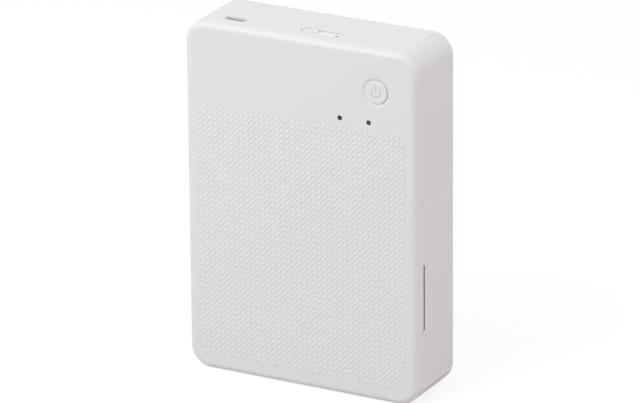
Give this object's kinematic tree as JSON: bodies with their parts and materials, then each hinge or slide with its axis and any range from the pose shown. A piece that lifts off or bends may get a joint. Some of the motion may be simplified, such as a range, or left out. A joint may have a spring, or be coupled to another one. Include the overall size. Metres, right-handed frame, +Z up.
{
  "type": "compact photo printer",
  "caption": "Upright compact photo printer with a hinged rear cover, sliding lock, power button, ribbon cassette, thermal head and geared paper rollers inside.",
  "frame": {"origin": "middle of the underside, on the surface that the printer stands on", "axes": "+X to the right and +Z up as seen from the front, which faces -Y; +Y to the back"},
  "size_m": [0.1022, 0.033, 0.1458],
  "materials": {
    "casing": "fine satin moulded white",
    "control": "smooth satin white",
    "soft_foot": "matt grey",
    "roller_rubber": "ground matt black",
    "dark_frame": "moulded dark grey",
    "shaft_steel": "ground bright",
    "sheet_metal": "rolled, satin",
    "heat_sink": "extruded",
    "circuit_board": "lacquered",
    "connector": "moulded ivory",
    "gear_plastic": "moulded natural",
    "bearing_metal": "turned",
    "window": "clear dark",
    "lamp": "clear",
    "film": "thin glossy film",
    "paper": "coated white",
    "head_ceramic": "glazed strip",
    "battery_wrap": "shrink wrapped",
    "flat_cable": "laminated flat"
  },
  "bodies": {
    "printer": {"front_shell": "casing", "back_rim": "casing", "hinge_pins": "shaft_steel", "inner_frame": "dark_frame", "frame_screws": "shaft_steel", "lock_bracket": "dark_frame", "button_switch": "sheet_metal", "light_pipes": "window", "indicator_lamps": "lamp", "main_board": "circuit_board", "usb_socket": "sheet_metal", "board_shield": "sheet_metal", "radio_module": "circuit_board", "board_connectors": "connector", "battery_pack": "battery_wrap", "head_cable": "flat_cable", "chassis": "sheet_metal", "shaft_bushes": "bearing_metal", "gear_studs": "shaft_steel", "gear_plate": "sheet_metal", "drive_motor": "sheet_metal", "ribbon_film": "film", "ribbon_cassette": "dark_frame", "head_pivot": "shaft_steel", "head_springs": "shaft_steel", "turn_guide": "dark_frame", "path_plate": "dark_frame", "exit_guide": "dark_frame"},
    "cover": {"rear_cover": "casing", "rubber_feet": "soft_foot", "paper_tray": "dark_frame", "paper_stack": "paper", "pressure_springs": "shaft_steel"},
    "pressure_plate": {"pressure_plate": "sheet_metal"},
    "lock": {"cover_lock": "control"},
    "button": {"power_button": "control", "switch_plunger": "dark_frame"},
    "platen": {"platen_shaft": "shaft_steel", "platen_rubber": "roller_rubber", "platen_gear": "gear_plastic"},
    "feed": {"feed_roller": "shaft_steel", "feed_gear": "gear_plastic"},
    "pinch": {"pinch_roller": "shaft_steel"},
    "pickup": {"pickup_shaft": "shaft_steel", "pickup_tyres": "roller_rubber", "pickup_gear": "gear_plastic"},
    "take_up": {"take_up_spool": "gear_plastic", "take_up_ribbon": "film", "take_up_gear": "gear_plastic"},
    "supply": {"supply_spool": "gear_plastic", "supply_ribbon": "film"},
    "motor": {"motor_shaft": "shaft_steel", "motor_pinion": "bearing_metal"},
    "reduction": {"reduction_gear": "gear_plastic"},
    "idler_a": {"idler_gear_a": "gear_plastic"},
    "idler_b": {"idler_gear_b": "gear_plastic"},
    "head": {"head_arm": "sheet_metal", "head_heatsink": "heat_sink", "head_ceramic": "head_ceramic"}
  },
  "joints": [
    {"name": "cover_hinge", "type": "hinge", "parent": "printer", "child": "cover", "pos_m": [-0.046, 0.0137, 0.072], "axis": [0, 0, 1], "range_deg": [0, 90]},
    {"name": "lock_slide", "type": "slide", "parent": "printer", "child": "lock", "axis": [1, 0, 0], "range_m": [0, 0.007]},
    {"name": "power_press", "type": "slide", "parent": "printer", "child": "button", "axis": [0, 1, 0], "range_m": [0, 0.00035], "stiffness_N_per_m": 800},
    {"name": "pressure_slide", "type": "slide", "parent": "cover", "child": "pressure_plate", "axis": [0, 1, 0], "range_m": [0, 0.0009], "stiffness_N_per_m": 600, "deforming": ["pressure_springs"]},
    {"name": "head_swing", "type": "hinge", "parent": "printer", "child": "head", "pos_m": [0.0215, 0.0025, 0.04465], "axis": [0, 0, 1], "range_deg": [0, 2]},
    {"name": "platen_spin", "type": "hinge", "parent": "printer", "child": "platen", "pos_m": [0.01, -0.0082, 0.04465], "axis": [0, 0, 1], "continuous": true},
    {"name": "feed_spin", "type": "hinge", "parent": "printer", "child": "feed", "pos_m": [-0.024, -0.0064, 0.04465], "axis": [0, 0, 1], "continuous": true},
    {"name": "pinch_spin", "type": "hinge", "parent": "printer", "child": "pinch", "pos_m": [-0.024, -0.0016, 0.04465], "axis": [0, 0, 1], "continuous": true},
    {"name": "pickup_spin", "type": "hinge", "parent": "printer", "child": "pickup", "pos_m": [-0.03086, 0.0047, 0.04465], "axis": [0, 0, 1], "continuous": true},
    {"name": "take_up_spin", "type": "hinge", "parent": "printer", "child": "take_up", "pos_m": [-0.01356, 0.003, 0.04465], "axis": [0, 0, 1], "continuous": true},
    {"name": "supply_spin", "type": "hinge", "parent": "printer", "child": "supply", "pos_m": [0.033, 0.003, 0.04465], "axis": [0, 0, 1], "continuous": true},
    {"name": "motor_spin", "type": "hinge", "parent": "printer", "child": "motor", "pos_m": [-0.03881, 0.00045, 0.1], "axis": [0, 0, 1], "continuous": true},
    {"name": "reduction_spin", "type": "hinge", "parent": "printer", "child": "reduction", "pos_m": [-0.03454, -0.00695, 0.088], "axis": [0, 0, 1], "continuous": true},
    {"name": "idler_a_spin", "type": "hinge", "parent": "printer", "child": "idler_a", "pos_m": [-0.00218, 0.00099, 0.086], "axis": [0, 0, 1], "continuous": true},
    {"name": "idler_b_spin", "type": "hinge", "parent": "printer", "child": "idler_b", "pos_m": [0.00047, -0.00766, 0.086], "axis": [0, 0, 1], "continuous": true}
  ],
  "couplings": [
    {"joint": "idler_b_spin", "follows": "platen_spin", "ratio": -1.1111},
    {"joint": "idler_a_spin", "follows": "platen_spin", "ratio": 1.1111},
    {"joint": "take_up_spin", "follows": "platen_spin", "ratio": -0.71429},
    {"joint": "feed_spin", "follows": "platen_spin", "ratio": 0.71429},
    {"joint": "pinch_spin", "follows": "platen_spin", "ratio": -0.71429},
    {"joint": "pickup_spin", "follows": "platen_spin", "ratio": -0.83333},
    {"joint": "reduction_spin", "follows": "platen_spin", "ratio": -1.4286},
    {"joint": "motor_spin", "follows": "platen_spin", "ratio": 3.4286}
  ]
}
